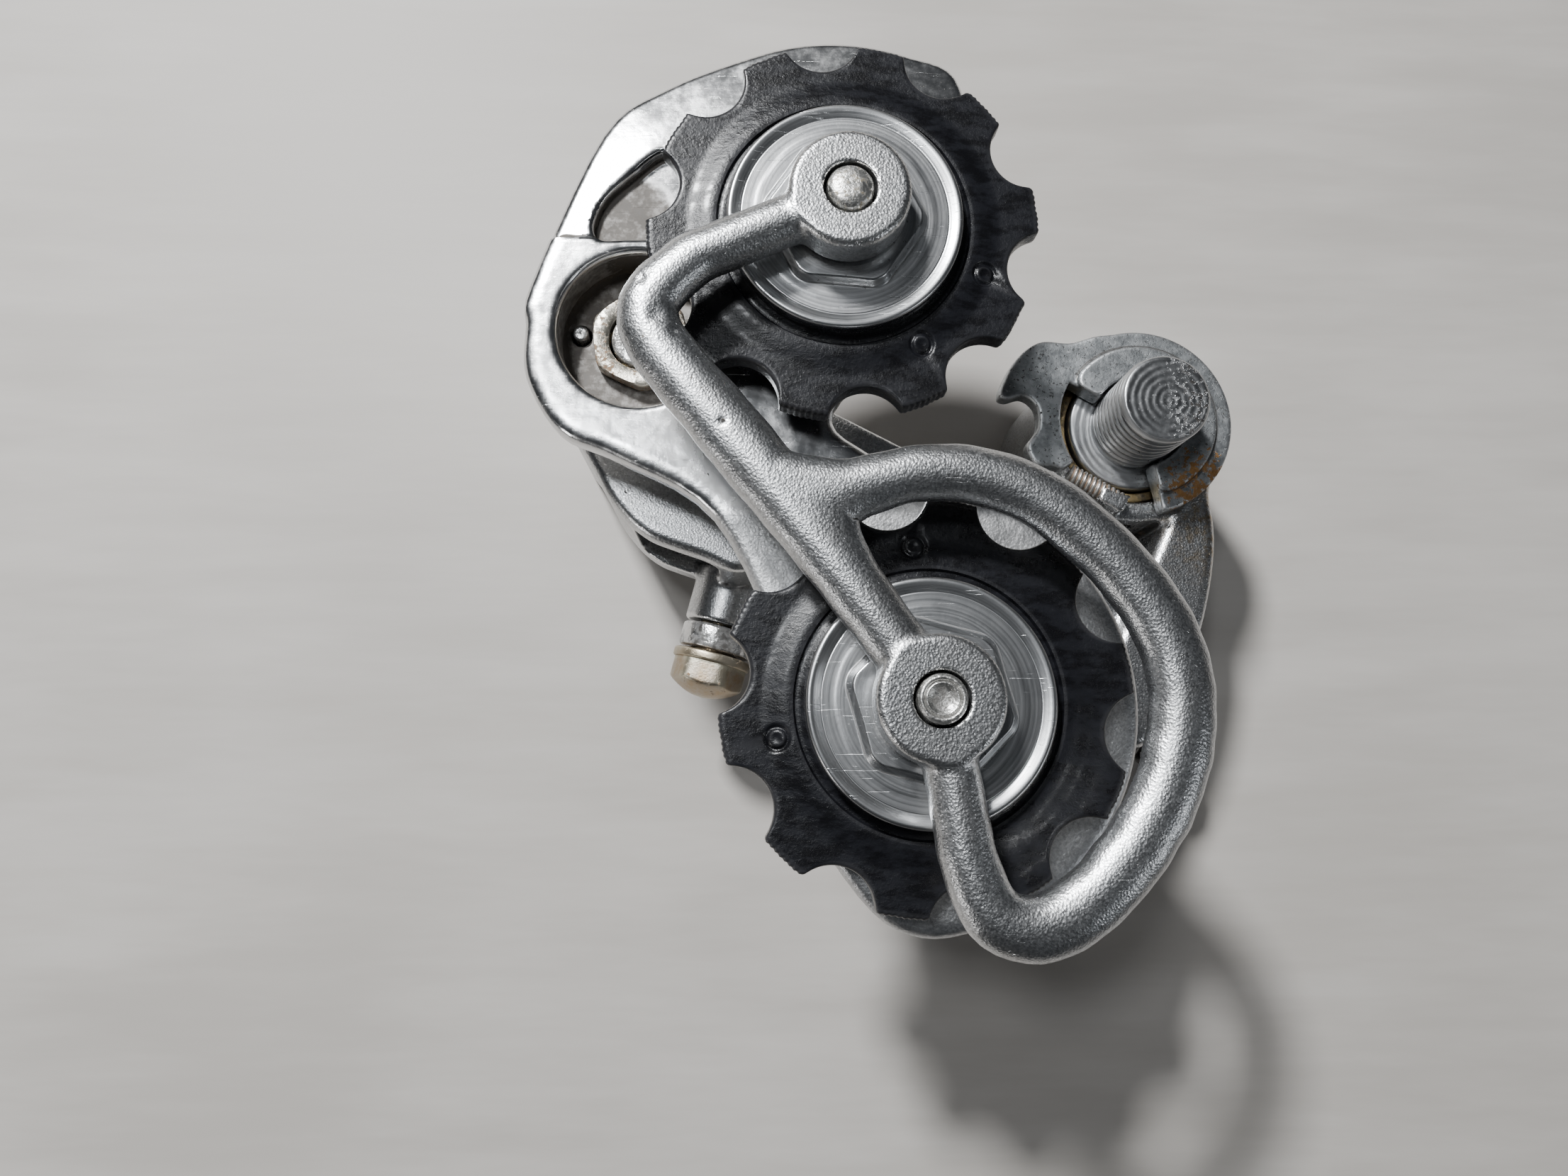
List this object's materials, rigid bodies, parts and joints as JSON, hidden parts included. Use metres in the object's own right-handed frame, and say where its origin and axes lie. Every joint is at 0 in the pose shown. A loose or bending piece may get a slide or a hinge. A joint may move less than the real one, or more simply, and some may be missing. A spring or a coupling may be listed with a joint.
{
  "type": "rear bicycle derailleur",
  "caption": "Rear derailleur: two jockey pulleys in an open looped cage, a sprung parallelogram and a hanger bolt, moving the chain across the sprockets.",
  "frame": {"origin": "centre of the hanger bolt, on the face that meets the frame's hanger", "axes": "+Z along the hanger bolt towards the wheel, +Y up and +X forwards when the derailleur hangs on a bicycle; the cage trails towards -X"},
  "size_m": [0.0792, 0.093, 0.0534],
  "materials": {
    "cast_alloy": "satin, bead-blasted",
    "polished_alloy": "polished",
    "satin_steel": "satin",
    "bright_steel": "bright plated",
    "spring_steel": "dark, greasy",
    "rusty_steel": "worn plating with rust",
    "bronze": "greasy",
    "black_resin": "gloss, greasy"
  },
  "bodies": {
    "hanger_set": {"hanger_stop": "satin_steel"},
    "mounting_bolt": {"mounting_bolt": "bright_steel"},
    "upper_knuckle": {"upper_knuckle": "cast_alloy", "knuckle_bush": "bronze", "body_spring": "spring_steel", "upper_outer_pin": "bright_steel", "upper_inner_pin": "bright_steel", "adjuster_spring": "spring_steel"},
    "tension_screw": {"tension_screw": "rusty_steel"},
    "high_limit_screw": {"high_limit_screw": "satin_steel"},
    "low_limit_screw": {"low_limit_screw": "satin_steel"},
    "cable_adjuster": {"cable_adjuster": "black_resin"},
    "outer_link": {"outer_link": "polished_alloy"},
    "inner_link": {"inner_link": "cast_alloy"},
    "lower_knuckle": {"lower_knuckle": "cast_alloy", "lower_outer_pin": "bright_steel", "lower_inner_pin": "bright_steel", "return_spring": "spring_steel", "cable_clamp_washer": "bright_steel", "cage_spring": "spring_steel"},
    "cable_clamp_bolt": {"cable_clamp_bolt": "rusty_steel"},
    "cage": {"outer_cage_plate": "polished_alloy", "inner_cage": "cast_alloy", "guide_axle": "satin_steel", "guide_bush": "bronze", "guide_inner_shield": "satin_steel", "guide_outer_shield": "satin_steel", "tension_axle": "satin_steel", "tension_bush": "bronze", "tension_inner_shield": "satin_steel", "tension_outer_shield": "satin_steel", "cage_pivot_bolt": "bright_steel", "cage_pivot_nut": "rusty_steel", "cage_bush": "bronze", "spring_peg": "satin_steel"},
    "guide_pulley": {"guide_pulley": "black_resin"},
    "tension_pulley": {"tension_pulley": "black_resin"}
  },
  "joints": [
    {"name": "bolt_turn", "type": "hinge", "parent": "hanger_set", "child": "mounting_bolt", "pos_m": [0, 0, 0], "axis": [0, 0, 1], "continuous": true},
    {"name": "body_pivot", "type": "hinge", "parent": "hanger_set", "child": "upper_knuckle", "pos_m": [0, 0, 0], "axis": [0, 0, 1], "range_deg": [0, 20], "stiffness_Nm_per_rad": 0.5, "springref_deg": -57.3},
    {"name": "tension_screw_turn", "type": "hinge", "parent": "upper_knuckle", "child": "tension_screw", "pos_m": [-0.00318, -0.00874, -0.0019], "axis": [-0.864, 0.5035, 0], "continuous": true},
    {"name": "high_screw_turn", "type": "hinge", "parent": "upper_knuckle", "child": "high_limit_screw", "pos_m": [-0.00453, -0.01881, -0.013], "axis": [0.9139, -0.4059, 0], "continuous": true},
    {"name": "low_screw_turn", "type": "hinge", "parent": "upper_knuckle", "child": "low_limit_screw", "pos_m": [-0.00647, -0.02319, -0.013], "axis": [0.9139, -0.4059, 0], "continuous": true},
    {"name": "adjuster_turn", "type": "hinge", "parent": "upper_knuckle", "child": "cable_adjuster", "pos_m": [-0.00936, -0.02968, -0.015], "axis": [0.9139, -0.4059, 0], "continuous": true},
    {"name": "outer_link_swing", "type": "hinge", "parent": "upper_knuckle", "child": "outer_link", "pos_m": [-0.0055, -0.021, -0.0185], "axis": [0.4059, 0.9139, 0], "range_deg": [0, 44], "stiffness_Nm_per_rad": 0.5, "springref_deg": -45.84},
    {"name": "inner_link_swing", "type": "hinge", "parent": "upper_knuckle", "child": "inner_link", "pos_m": [-0.0055, -0.021, -0.0075], "axis": [0.4059, 0.9139, 0], "range_deg": [0, 44]},
    {"name": "lower_knuckle_swing", "type": "hinge", "parent": "outer_link", "child": "lower_knuckle", "pos_m": [-0.04332, -0.0042, -0.0112], "axis": [0.4059, 0.9139, 0], "range_deg": [-44, 0]},
    {"name": "clamp_bolt_turn", "type": "hinge", "parent": "lower_knuckle", "child": "cable_clamp_bolt", "pos_m": [-0.04642, -0.0155, -0.0097], "axis": [-0.2504, -0.9681, 0], "continuous": true},
    {"name": "cage_pivot", "type": "hinge", "parent": "lower_knuckle", "child": "cage", "pos_m": [-0.05652, 0.0045, 0], "axis": [0, 0, -1], "range_deg": [0, 110], "stiffness_Nm_per_rad": 0.3, "springref_deg": -68.75},
    {"name": "guide_pulley_spin", "type": "hinge", "parent": "cage", "child": "guide_pulley", "pos_m": [-0.03609, 0.01292, 0.0192], "axis": [0, 0, 1], "continuous": true},
    {"name": "tension_pulley_spin", "type": "hinge", "parent": "cage", "child": "tension_pulley", "pos_m": [-0.02868, -0.03359, 0.0192], "axis": [0, 0, 1], "continuous": true}
  ],
  "couplings": [
    {"joint": "inner_link_swing", "follows": "outer_link_swing", "ratio": 1},
    {"joint": "lower_knuckle_swing", "follows": "outer_link_swing", "ratio": -1}
  ]
}
